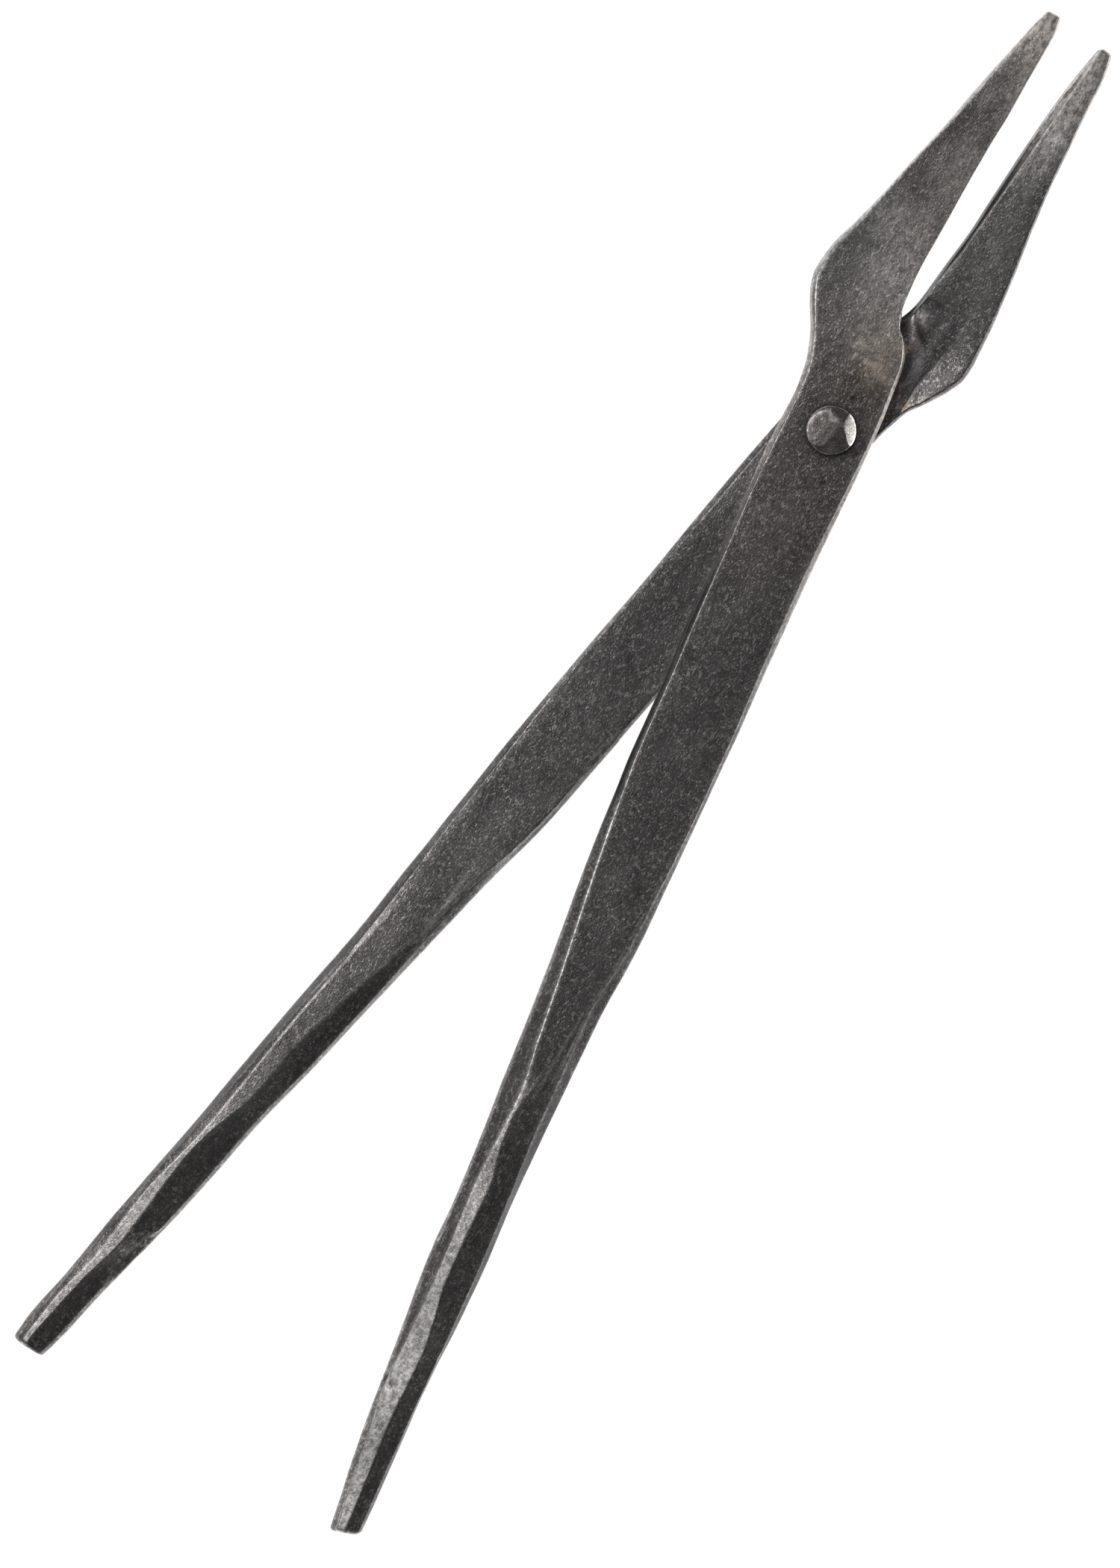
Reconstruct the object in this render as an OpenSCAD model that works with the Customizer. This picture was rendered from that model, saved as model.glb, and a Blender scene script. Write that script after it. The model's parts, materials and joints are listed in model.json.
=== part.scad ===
// Hand-forged crucible tongs: two bars crossed at a rivet.
// +Y points along the closed jaws, +X to the right seen from above, +Z up along the rivet.
// The origin is where the rivet's axis meets the bench, so the tongs lie on z = 0.

/* [Length] */
// Distance from the rivet to the tip of the longer jaw
jaw_len = 126.8; // [110:0.1:150]
// Distance from the rivet to the end of the longer rein
rein_len = 324.3; // [280:0.1:400]

/* [Thickness] */
// Thickness of each half at the rivet
boss_t = 7; // [6:0.1:8]
// Thickness of each jaw
jaw_t = 6.4; // [5:0.1:7]
// Thickness of each rein at its end
rein_end_t = 8.4; // [6:0.1:9]

/* [Pivot] */
// Diameter of the rivet's shank
rivet_d = 8; // [6:0.1:9]
// Radial gap between the shank and the hole of the half that turns on it
pivot_gap = 0.05; // [0.02:0.01:0.1]
// Gap between faces that slide over each other
slide_gap = 0.1; // [0.05:0.01:0.3]
// Diameter of the hammered head in front
head_d = 13.2; // [12:0.1:15]
// Height of the hammered head in front
head_h = 3.6; // [3:0.1:4.5]
// Diameter of the flattened head behind, where it meets the bar
back_head_d = 13.4; // [12:0.1:15]
// Diameter of the flat that it rests on
back_flat_d = 10.4; // [9:0.1:11]
// Height of the flattened head behind
back_head_h = 2.6; // [2:0.1:3.5]

/* [Pose] */
// Angle between the two halves as they lie, 0 being closed
open_angle = 5; // [0:0.1:35]

/* [Hidden] */

$fn = 96;
slack = 1;                                          // how far a cutting shape overshoots
joint_z = back_head_h + slide_gap + boss_t + slide_gap / 2;   // the plane where the halves meet
cheek = slide_gap / 2;                              // joint plane to a half's inner cheek
boss_top = cheek + boss_t;                          // joint plane to a half's outer cheek
jaw_h = jaw_t / 2;                                  // the jaws lie centred on the joint plane
foot = joint_z;                                     // joint plane to the bench
step_y = 38;                                        // where the inner cheek steps out to the jaw
step_len = 4;                                       // length of that step
neck_y = 11;                                        // where the heel has sunk back to the cheek
root_y = 50;                                        // where the outer cheek has come down to the jaw
heel_y = 38;                                        // beyond this a jaw stretches with jaw_len
shoulder_y = -120;                                  // beyond this a rein stretches with rein_len
lip_rise = 1;                                       // the gripping edge's upright land starts here
lip_slope = 1.8 / 4.2;                              // its slanted wall, width to depth

// Each half is described in its own frame, with its jaw at negative x, the joint plane at z = 0 and
// z growing away from the other half. Rows run from the tip of the jaw to the end of the rein.

// Outlines, [y, x]: left is the back of the jaw and then the inside of the rein
front_left = [[126.8, -4.2], [125.5, -5], [114, -7.7], [90, -12.8], [62, -19.3], [46, -23.7],
    [38, -24.9], [33, -24.3], [28, -22.2], [20, -17.8], [12, -14.9], [4, -13.6], [-20, -12.4],
    [-60, -8.7], [-90, -5.3], [-120, -2], [-150, 2.5], [-190, 8.4], [-240, 14], [-280, 19.9],
    [-317, 26.3], [-320.5, 27.8], [-322.5, 29.8]];
front_right = [[126.8, -1], [125.5, -0.4], [122, 0], [98, 0], [62, -0.4], [44, 0], [38, 0.4],
    [36.5, 1.5], [32, 3.4], [28, 6.7], [20, 9], [8, 11], [-8, 12.2], [-40, 14.4], [-90, 18.9],
    [-120, 21.1], [-150, 23.1], [-165, 23.3], [-190, 24.8], [-240, 29.4], [-290, 32.7],
    [-318, 35.3], [-320.5, 34.8], [-322.5, 31.8]];
rear_left = [[125.6, -5], [124, -5.9], [118, -7.2], [98, -10], [74, -14.3], [56, -18.5],
    [40, -21.1], [33, -21.8], [28, -20.5], [20, -16.4], [15, -13.6], [8, -12.1], [0, -11],
    [-20, -10], [-60, -5.2], [-90, -1.4], [-130, 3.4], [-150, 7.2], [-190, 13.7], [-240, 21.7],
    [-280, 26.9], [-320, 33.5], [-323, 35], [-324.3, 36.5]];
rear_right = [[125.6, -2], [124, -1.5], [118, -0.6], [110, -0.1], [90, 0], [66, -0.4], [50, 0],
    [42, 0.3], [38, 0.4], [36.5, 1.5], [32, 3.4], [28, 6.4], [20, 9], [8, 11], [0, 12.5],
    [-8, 13.6], [-20, 15], [-60, 18.6], [-90, 22.1], [-130, 25.3], [-170, 28.2], [-200, 31.2],
    [-240, 35.3], [-280, 39.6], [-320, 43.7], [-323, 43.2], [-324.3, 41.4]];

// Faces, [y, z]: the outer face, and the inner face that lies against the other half
front_outer = [[126.8, 2], [125.5, 2.7], [120, jaw_h], [root_y, jaw_h], [14, boss_top],
    [-14, boss_top], [-60, boss_top + 0.5], [-120, boss_top + 0.9], [-165, 7.3], [-200, 6.4],
    [-240, 5], [-280, 2], [-312, rein_end_t - foot + 0.3], [-320.5, rein_end_t - foot],
    [-322.5, rein_end_t - foot - 1]];
front_inner = [[126.8, -2], [125.5, -2.7], [120, -jaw_h], [step_y + step_len, -jaw_h],
    [step_y, cheek], [-20, cheek], [-120, cheek + 0.3], [-140, -1], [-165, -3.2], [-200, -5.9],
    [-240, -7.2], [-280, -8.4], [-312, -foot], [-320.5, -foot], [-322.5, 1 - foot]];
rear_outer = [[125.6, 2], [124, 2.8], [118, jaw_h], [root_y, jaw_h], [14, boss_top],
    [-14, boss_top], [-60, boss_top + 0.3], [-120, boss_top + 0.8], [-200, 8.5], [-240, 8.8],
    [-280, 9.3], [-312, foot], [-322, foot], [-324.3, foot - 1]];
rear_inner = [[125.6, -2], [124, -2.8], [118, -jaw_h], [step_y + step_len, -jaw_h],
    [step_y, cheek], [-20, cheek], [-120, cheek + 0.3], [-140, -0.8], [-165, -2.6], [-200, -3.6],
    [-240, -3], [-280, -1.2], [-312, foot - rein_end_t - 0.3], [-322, foot - rein_end_t],
    [-324.3, foot - rein_end_t + 1]];

// The heel stands proud of the inner cheek, [y, z], up to a shoulder that clears the other half:
// [y, x of the shoulder's foot, width of its slope]
heel_inner = [[42, 0.6 - jaw_h], [40, 1 - jaw_h], [36, 1.7 - jaw_h], [32, -0.9], [28, -0.45], [24, -0.2],
    [18, -0.05], [neck_y, cheek]];
shoulder = [[42, -1.8, 1], [38, -2.2, 1.2], [36.5, -2.8, 1.4], [32, -5.2, 1.5], [28, -8, 1.5],
    [24, -9.4, 1.2], [20, -10.4, 0.9], [15, -11.4, 0.6], [neck_y, -10, 0.6]];

// Bevels along the edges, [y, width, depth]
front_outer_left = [[127, 1, 1.2], [60, 1.1, 1.3], [26, 1.6, 1.8], [4, 1.3, 1.6], [-85, 1.7, 2],
    [-120, 2.3, 2.5], [-165, 4.4, 3.6], [-190, 5.2, 4], [-240, 4, 3.8], [-270, 2.4, 3],
    [-295, 2.2, 2.6], [-322, 1.4, 2]];
front_outer_right = [[127, 0.3, 0.3], [40, 0.3, 0.3], [30, 1, 1.2], [-8, 1.2, 1.5], [-60, 1.3, 1.6],
    [-120, 1.3, 1.6], [-165, 3.2, 2.6], [-195, 3, 2.6], [-215, 8.4, 4.4], [-240, 8.2, 4.6],
    [-264, 6.2, 4.2], [-295, 4.8, 3.2], [-322, 4.2, 2.6]];
rear_inner_left = [[127, 0.8, 0.8], [75, 0.8, 0.8], [55, 5, 0.8], [40, 7.5, -0.5], [28, 7.8, -0.9],
    [20, 4.6, -0.5], [14, 1.2, 1.2], [-90, 1, 1.2], [-120, 1.1, 1.4], [-150, 2.2, 2.2],
    [-165, 3.4, 2.8], [-190, 5.5, 3.6], [-215, 7, 4], [-240, 5.8, 4], [-250, 8.4, 4.4],
    [-270, 8.4, 4.2], [-290, 5.5, 3.2], [-322, 6, 2.8]];
rear_inner_right = [[36, 0.6, 0.8], [20, 1, 1.2], [-90, 1.1, 1.4], [-145, 1.9, 2.2],
    [-180, 2.2, 2.4], [-200, 3.4, 3.2], [-240, 3.5, 3.4], [-270, 2.6, 2.8], [-322, 2.4, 2.4]];
hidden_side = [[127, 0.8, 0.8], [-100, 1.2, 1.4], [-165, 3, 2.6], [-240, 3.8, 3.4], [-322, 2.2, 2.2]];

// Places along a half where it gets a ring of corners
front_rings = [126.8, 125.5, 120, 98, 78, 62, 50, 44, 42, 40, 38, 36.5, 33, 30, 28, 24, 22, 20,
    15, 11, 8, 0, -8, -20, -60, -90, -120, -140, -165, -190, -200, -215, -240, -264, -280, -295, -312, -317,
    -320.5, -322.5];
rear_rings = [125.6, 124, 118, 98, 74, 56, 50, 44, 42, 40, 38, 36.5, 33, 30, 28, 24, 22, 20, 15,
    11, 8, 0, -8, -20, -60, -90, -120, -140, -165, -190, -200, -215, -240, -250, -270, -280, -290, -312, -320,
    -323, -324.3];

// The hammered faces of the front head: [direction, tilt, height above the bar]
head_faces = [[215, 8, 3], [299, 6, 3.08], [77.5, 24.8, 4.19], [35, 37, 4.46], [300, 33, 4.47]];

// Row of table t just above place y
function row_above(t, y, i = 0) =
    (i + 2 >= len(t) || t[i + 1][0] <= y) ? i : row_above(t, y, i + 1);

// Column c of table t at place y, on straight lines between its rows
function at(t, y, c = 1) =
    let (i = row_above(t, y), a = t[i], b = t[i + 1],
         k = max(0, min(1, (a[0] - y) / (a[0] - b[0]))))
    a[c] + (b[c] - a[c]) * k;

// Place y after the jaw and the rein take their chosen lengths
function stretched(y) =
    y > heel_y ? heel_y + (y - heel_y) * (jaw_len - heel_y) / (126.8 - heel_y) :
    y < shoulder_y ? shoulder_y + (y - shoulder_y) * (rein_len + shoulder_y) / (324.3 + shoulder_y) :
    y;

// The gripping edge leans back on the inner side of a jaw, and elsewhere the bevel is an ordinary one
function lip_depth(y, z, bevel) = y >= step_y ? lip_rise - z : at(bevel, y, 2);
function lip_width(y, z, bevel) = y >= step_y ? lip_slope * (lip_rise - z) : at(bevel, y, 1);

// Height of the inner face behind the shoulder
function heel_z(y, inner) = y > step_y + step_len || y < neck_y ? at(inner, y) : at(heel_inner, y);

// The two edges of the shoulder's slope. Where there is none they lie in the flat inner face,
// which runs from lo to hi.
function slope_x(y, lo, hi) =
    y > step_y + step_len || y < neck_y ? [lo + (hi - lo) / 3, hi - (hi - lo) / 3] :
    [at(shoulder, y) - at(shoulder, y, 2), at(shoulder, y)];

// The ten corners of a half at place y
function ring(y, left, right, inner, outer, bevels) =
    let (xl = at(left, y), xr = at(right, y), zi = at(inner, y), zo = at(outer, y), ys = stretched(y),
         zh = heel_z(y, inner), lo = xl + at(bevels[0], y), hi = xr - lip_width(y, zi, bevels[1]),
         slope = slope_x(y, lo, hi))
    [[lo, ys, zh],
     [slope[0], ys, zh],
     [slope[1], ys, zi],
     [hi, ys, zi],
     [xr, ys, zi + lip_depth(y, zi, bevels[1])],
     [xr, ys, zo - at(bevels[2], y, 2)],
     [xr - at(bevels[2], y), ys, zo],
     [xl + at(bevels[3], y), ys, zo],
     [xl, ys, zo - at(bevels[3], y, 2)],
     [xl, ys, zh + at(bevels[0], y, 2)]];

// The middle of a ring of points
function middle(points) = [for (k = [0 : 2]) mean([for (p = points) p[k]])];
function mean(values) = values * [for (v = values) 1] / len(values);

// One bar: rings of ten corners joined by a skin, closed at each end by a fan round its middle.
// bevels are those at the inner left, inner right, outer right and outer left edges.
module bar(rings, left, right, inner, outer, bevels) {
    n = 10;
    last = len(rings) - 1;
    tip = ring(rings[0], left, right, inner, outer, bevels);
    end = ring(rings[last], left, right, inner, outer, bevels);
    corners = [for (y = rings) each ring(y, left, right, inner, outer, bevels)];
    skin = [for (i = [0 : last - 1], j = [0 : n - 1])
        let (k = (j + 1) % n, a = i * n + j, b = i * n + k, c = a + n, d = b + n)
        each [[a, c, d], [a, d, b]]];
    tip_fan = [for (j = [0 : n - 1]) [(last + 1) * n, j, (j + 1) % n]];
    end_fan = [for (j = [0 : n - 1]) [(last + 1) * n + 1, last * n + (j + 1) % n, last * n + j]];
    polyhedron(concat(corners, [middle(tip), middle(end)]), concat(skin, tip_fan, end_fan),
        convexity = 6);
}

// A bar with a round hole through its boss
module drilled_bar(hole_d, rings, left, right, inner, outer, bevels) {
    difference() {
        bar(rings, left, right, inner, outer, bevels);
        translate([0, 0, cheek - slack])
            cylinder(h = boss_t + 2 * slack, d = hole_d);
    }
}

// The front half, whose outer face shows from above
module front_half() {
    color([0.27, 0.26, 0.25])
        translate([0, 0, joint_z])
            rotate([0, 0, open_angle / 2])
                drilled_bar(rivet_d, front_rings, front_left, front_right, front_inner, front_outer,
                    [hidden_side, hidden_side, front_outer_right, front_outer_left]);
}

// The rear half, turned over so that its inner face shows from above
module rear_half() {
    color([0.24, 0.23, 0.22])
        translate([0, 0, joint_z])
            rotate([0, 180, -open_angle / 2])
                drilled_bar(rivet_d + 2 * pivot_gap, rear_rings, rear_left, rear_right, rear_inner,
                    rear_outer, [rear_inner_left, rear_inner_right, hidden_side, hidden_side]);
}

// The domed head in front, knocked flat in places by the hammer
module hammered_head() {
    rim_h = 1.9;
    dome_h = head_h - rim_h;
    steps = 5;
    dome = [for (i = [0 : steps]) let (a = 90 * i / steps) [head_d / 2 * cos(a), rim_h + dome_h * sin(a)]];
    difference() {
        rotate_extrude()
            polygon(concat([[0, 0], [head_d / 2, 0]], dome));
        for (f = head_faces)
            rotate([0, 0, f[0] + open_angle / 2])
                rotate([0, f[1], 0])
                    translate([-head_d, -head_d, f[2]])
                        cube([2 * head_d, 2 * head_d, head_h + slack]);
    }
}

// The rivet: flattened head on the bench, shank through both bosses, hammered head on top
module rivet() {
    bars_top = joint_z + boss_top;
    color([0.38, 0.37, 0.36]) {
        cylinder(h = back_head_h, d1 = back_flat_d, d2 = back_head_d);
        cylinder(h = bars_top, d = rivet_d);
        translate([0, 0, bars_top])
            hammered_head();
    }
}

front_half();
rear_half();
rivet();
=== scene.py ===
import json
import math
import bpy
import numpy as np
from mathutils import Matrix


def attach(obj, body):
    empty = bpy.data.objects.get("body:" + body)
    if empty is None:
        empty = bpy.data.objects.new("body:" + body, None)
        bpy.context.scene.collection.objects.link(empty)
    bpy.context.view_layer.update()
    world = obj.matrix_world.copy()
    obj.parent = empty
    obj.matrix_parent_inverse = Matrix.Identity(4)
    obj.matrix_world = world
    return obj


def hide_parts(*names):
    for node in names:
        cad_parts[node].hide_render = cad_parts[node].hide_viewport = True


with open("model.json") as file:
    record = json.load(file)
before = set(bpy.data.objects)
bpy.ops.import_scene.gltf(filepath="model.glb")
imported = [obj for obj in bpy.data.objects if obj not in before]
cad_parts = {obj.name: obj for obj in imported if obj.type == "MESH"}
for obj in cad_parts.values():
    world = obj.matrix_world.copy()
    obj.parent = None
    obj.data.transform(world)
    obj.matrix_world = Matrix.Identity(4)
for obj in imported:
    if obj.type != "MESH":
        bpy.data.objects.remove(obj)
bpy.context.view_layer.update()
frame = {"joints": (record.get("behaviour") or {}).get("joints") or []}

mm = 0.001                                 # the tables below are in millimetres
joint = frame["joints"][0]
pivot = np.array(joint["pos_m"])
halfOpen = math.radians(joint["range_deg"][1]) / 2   # each half lies this far from closed
lightly = [(127, 0.2), (-320, 0.2)]        # the same all along a bar
never = [(127, 0), (-320, 0)]
print("frame loaded, pivot at", pivot)


def follow(place, table):
    # smooth line through the table's (place, value) rows: a cubic between each two rows, whose slope at a row
    # is the harmonic mean of the slopes on both sides, or nought at a turning point, so it never overshoots
    rows = np.array(sorted(table), float)
    at, value = rows[:, 0], rows[:, 1]
    gap = np.diff(at)
    slope = np.diff(value) / gap
    before, after = slope[:-1], slope[1:]
    safe = np.where(before * after > 0, before * after, 1)
    mean = np.where(before * after > 0, 2 * safe / np.where(before + after == 0, 1, before + after), 0)
    atRow = np.concatenate([slope[:1], mean, slope[-1:]])
    i = np.clip(np.searchsorted(at, place) - 1, 0, len(gap) - 1)
    t = np.clip((place - at[i]) / gap[i], 0, 1)
    left = value[i] * (1 + 2 * t) * (1 - t) ** 2 + atRow[i] * gap[i] * t * (1 - t) ** 2
    right = value[i + 1] * t * t * (3 - 2 * t) - atRow[i + 1] * gap[i] * t * t * (1 - t)
    return left + right


def fade(value, start, end):
    # smooth step: 0 at start, 1 at end
    t = np.clip((value - start) / (end - start), 0, 1)
    return t * t * (3 - 2 * t)


def lumps(points, size, seed):
    # value noise: random heights at the corners of cubes of that size, blended smoothly between them
    cells = 32
    heights = np.random.default_rng(seed).uniform(-1, 1, (cells, cells, cells))
    spot = points / size
    cell = np.floor(spot).astype(int)
    t = spot - cell
    t = t * t * (3 - 2 * t)
    total = np.zeros(points.shape[:-1])
    for corner in np.ndindex(2, 2, 2):
        i = (cell + corner) % cells
        share = np.prod(np.where(corner, t, 1 - t), axis=-1)
        total += heights[i[..., 0], i[..., 1], i[..., 2]] * share
    return total


def ringPoints(corners, radii, counts, arcSteps=4):
    # each corner gives way to a short arc (a quadratic Bezier, cut back by the corner's radius along both
    # sides), and the flats between the arcs get evenly spaced points. Also returned is each point's distance
    # to the nearest corner and that corner's number.
    toNext = np.roll(corners, -1, axis=1) - corners
    length = np.maximum(np.linalg.norm(toNext, axis=2, keepdims=True), 1e-6)
    ahead = toNext / length
    behind = np.roll(ahead, 1, axis=1)
    lengthBehind = np.roll(length, 1, axis=1)
    most = 0.42                                # of a side that one corner may take
    cut = np.minimum(np.array(radii)[None, :, None], most * np.minimum(length, lengthBehind))
    start = corners - behind * cut
    stop = corners + ahead * cut
    points, away, owner = [], [], []
    n = corners.shape[1]
    for c in range(n):
        for t in np.linspace(0, 1, arcSteps):
            points.append((1 - t) ** 2 * start[:, c] + 2 * t * (1 - t) * corners[:, c] + t * t * stop[:, c])
            away.append(cut[:, c, 0] * abs(2 * t - 1))
            owner.append(c)
        following = (c + 1) % n
        for t in np.linspace(0, 1, counts[c] + 2)[1:-1]:
            points.append((1 - t) * stop[:, c] + t * start[:, following])
            away.append(length[:, c, 0] * min(t, 1 - t))
            owner.append(c if t < 0.5 else following)
    return np.stack(points, axis=1), np.stack(away, axis=1), np.array(owner)


def closeEnds(rings, places, tip, end):
    # at each end the outline draws in towards its middle while it runs on by a quarter round, then a flat
    # cap closes it in shrinking rings
    def cap(ring, place, spec, way):
        middle = (ring.max(axis=0) + ring.min(axis=0)) / 2
        halfSize = (ring.max(axis=0) - ring.min(axis=0)) / 2
        turn = np.linspace(0, math.pi / 2, 6)[1:]
        shrink = [1 - spec["round"] * (1 - math.cos(a)) / halfSize for a in turn]
        reach = [place + way * spec["round"] * math.sin(a) for a in turn]
        flat = [shrink[-1] * k for k in (0.75, 0.45, 0.15)]
        reach = reach + [reach[-1]] * len(flat)
        shrink = shrink + flat
        return [middle + (ring - middle) * s for s in shrink], reach

    first, firstAt = cap(rings[0], places[0], tip, 1)
    last, lastAt = cap(rings[-1], places[-1], end, -1)
    allRings = np.concatenate([np.array(first[::-1]), rings, np.array(last)])
    allPlaces = np.concatenate([firstAt[::-1], places, lastAt])
    return allRings, allPlaces, len(first), len(last)


def gridNormals(points):
    # cross product of the directions along the bar and around it, turned away from the rings' middles
    along = np.gradient(points, axis=0)
    around = np.roll(points, -1, axis=1) - np.roll(points, 1, axis=1)
    normal = np.cross(along, around)
    if (normal * (points - points.mean(axis=1, keepdims=True))).sum() < 0:
        normal = -normal
    return normal / np.maximum(np.linalg.norm(normal, axis=2, keepdims=True), 1e-9)


def forge(spec, half):
    # rings of corners from the half's tables, rounded corners, slanted and closed ends, then relief
    count = int((spec["tip"]["y"] - spec["end"]["y"]) / spec["step"])
    places = np.linspace(spec["tip"]["y"], spec["end"]["y"], count)
    names, corners = half(places)
    radii = [spec["corners"][n][0] for n in names]
    counts = [spec["corners"][n][1] for n in names]
    worn = np.stack([follow(places, spec["rubbedEdge"][n]) for n in names], axis=1)
    flat, away, owner = ringPoints(corners, radii, counts)
    rings, where, before, after = closeEnds(flat, places, spec["tip"], spec["end"])
    away = np.pad(away, ((before, after), (0, 0)), mode="edge")
    worn = np.pad(worn, ((before, after), (0, 0)), mode="edge")
    x, z = rings[:, :, 0], rings[:, :, 1]
    y = np.repeat(where[:, None], rings.shape[1], axis=1)
    end = spec["end"]
    y = y + end["slant"] * (x - end["hinge"]) * fade(y, end["y"] + end["blend"], end["y"])
    points = np.stack([x, y, z], axis=2)
    wear = worn[:, owner] * np.exp(-(away / spec["wearWidth"]) ** 2)
    return points, wear


def patches(points, spots):
    # soft oval patches (x, y, half width, half length, strength): the strongest at each point
    x, y = points[:, :, 0], points[:, :, 1]
    total = np.zeros(x.shape)
    for px, py, width, length, strength in spots:
        total = np.maximum(total, strength * np.exp(-((x - px) / width) ** 2 - ((y - py) / length) ** 2))
    return total


def ribbons(points, spec, kind):
    # strips between two lines of the bar's tables, with a strength along the bar: the strongest at each point
    x, y = points[:, :, 0], points[:, :, 1]
    soft = 0.15
    total = np.zeros(x.shape)
    for name, first, second, strength in spec["ribbons"]:
        if name == kind:
            low, high = follow(y, spec[first]), follow(y, spec[second])
            inside = fade(x, low - soft, low + soft) * fade(x, high + soft, high - soft)
            total = np.maximum(total, follow(y, strength) * inside)
    return total


def uneven(spots, spec):
    # the spec's sizes of value noise, each times its height, added up
    total = np.zeros(spots.shape[:2])
    for n, (size, height) in enumerate(spec["relief"]):
        total += height * lumps(spots, size, spec["seed"] + n)
    return total


def relieve(points, out, spec):
    # hammer relief: broad, middle and fine value noise pushed along the normals, fading out around the rivet;
    # on the hidden side it only goes inwards, so that sliding faces stay clear of each other. Each dent is a
    # round bell: depth times exp(-1.5 times the squared distance in radii)
    normal = gridNormals(points)
    stretch = np.array([1, 0.7, 1])            # the marks are longer along the bar
    shift = 100                                # into the noise, clear of its origin
    push = uneven(points * stretch + shift, spec)
    deepest = sum(height for size, height in spec["relief"])
    fromRivet = np.hypot(points[:, :, 0], points[:, :, 1])
    push = np.where(out, push * fade(fromRivet, *spec["calm"]), (push - deepest) / 2)
    for x, y, radius, depth in spec["dents"]:
        near = np.hypot(points[:, :, 0] - x, points[:, :, 1] - y) / radius
        push -= np.where(out, depth * np.exp(-near ** 2 * 1.5), 0)
    return points + normal * push[:, :, None]


def makeMesh(name, points, attributes, place=lambda p: p):
    # grid of rings to a closed mesh: quads between the rings and a fan at each end, faces turned outwards
    rings, around = points.shape[:2]
    flat = points.reshape(-1, 3)
    middles = np.array([points[0].mean(axis=0), points[-1].mean(axis=0)])
    i = np.arange(rings - 1)[:, None] * around
    j = np.arange(around)[None, :]
    k = (j + 1) % around
    quads = np.stack([i + j, i + around + j, i + around + k, i + k], axis=2).reshape(-1, 4)
    base = rings * around
    j, k = j[0], k[0]
    top = np.stack([np.full(around, base), j, k], axis=1)
    last = (rings - 1) * around
    bottom = np.stack([np.full(around, base + 1), last + k, last + j], axis=1)
    vertices = place(np.concatenate([flat, middles])) * mm
    a, b, c = vertices[quads[:, 0]], vertices[quads[:, 1]], vertices[quads[:, 2]]
    d = vertices[quads[:, 3]]
    volume = np.einsum("ij,ij->i", a, np.cross(b, c)).sum() + np.einsum("ij,ij->i", a, np.cross(c, d)).sum()
    faces = quads.tolist() + top.tolist() + bottom.tolist()
    if volume < 0:
        faces = [f[::-1] for f in faces]
    mesh = bpy.data.meshes.new(name)
    mesh.from_pydata(vertices.tolist(), [], faces)
    for key, value in attributes.items():
        layer = mesh.attributes.new(key, "FLOAT", "POINT")
        ends = [value[0].mean(), value[-1].mean()]
        layer.data.foreach_set("value", np.concatenate([value.ravel(), ends]).astype(np.float32))
    mesh.shade_smooth()
    piece = bpy.data.objects.new(name, mesh)
    bpy.context.scene.collection.objects.link(piece)
    return piece


# it reaches past the bars at both ends (metres), and edges over the sharp angle stay crisp (degrees)
drillBit = {"sides": 96, "low": -0.01, "high": 0.03, "sharp": 60}


def boreThrough(piece, diameter):
    # cut the rivet's hole with a cylinder and keep only the cut mesh
    radius = diameter / 2 * mm
    sides = drillBit["sides"]
    turn = np.arange(sides) * 2 * math.pi / sides
    low, high = drillBit["low"], drillBit["high"]
    rim = np.stack([pivot[0] + radius * np.cos(turn), pivot[1] + radius * np.sin(turn)], axis=1)
    vertices = [(x, y, low) for x, y in rim] + [(x, y, high) for x, y in rim]
    sidesFaces = [(n, (n + 1) % sides, sides + (n + 1) % sides, sides + n) for n in range(sides)]
    caps = [tuple(range(sides))[::-1], tuple(range(sides, 2 * sides))]
    mesh = bpy.data.meshes.new("drill")
    mesh.from_pydata(vertices, [], sidesFaces + caps)
    drill = bpy.data.objects.new("drill", mesh)
    bpy.context.scene.collection.objects.link(drill)
    cut = piece.modifiers.new("bore", "BOOLEAN")
    cut.operation = "DIFFERENCE"
    cut.solver = "EXACT"
    cut.object = drill
    bpy.context.view_layer.update()
    cutMesh = bpy.data.meshes.new_from_object(piece.evaluated_get(bpy.context.evaluated_depsgraph_get()))
    piece.modifiers.remove(cut)
    piece.data = cutMesh
    cutMesh.shade_smooth()
    cutMesh.set_sharp_from_angle(angle=math.radians(drillBit["sharp"]))
    bpy.data.objects.remove(drill)


def turned(points, angle):
    # turn about the rivet's axis: x cos - y sin, x sin + y cos
    c, s = math.cos(angle), math.sin(angle)
    x, y, z = points[:, 0], points[:, 1], points[:, 2]
    return np.stack([x * c - y * s, x * s + y * c, z], axis=1)


# x runs to the right of the bar's own centre line, y towards the jaw's tip, z up from the joint plane.

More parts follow.
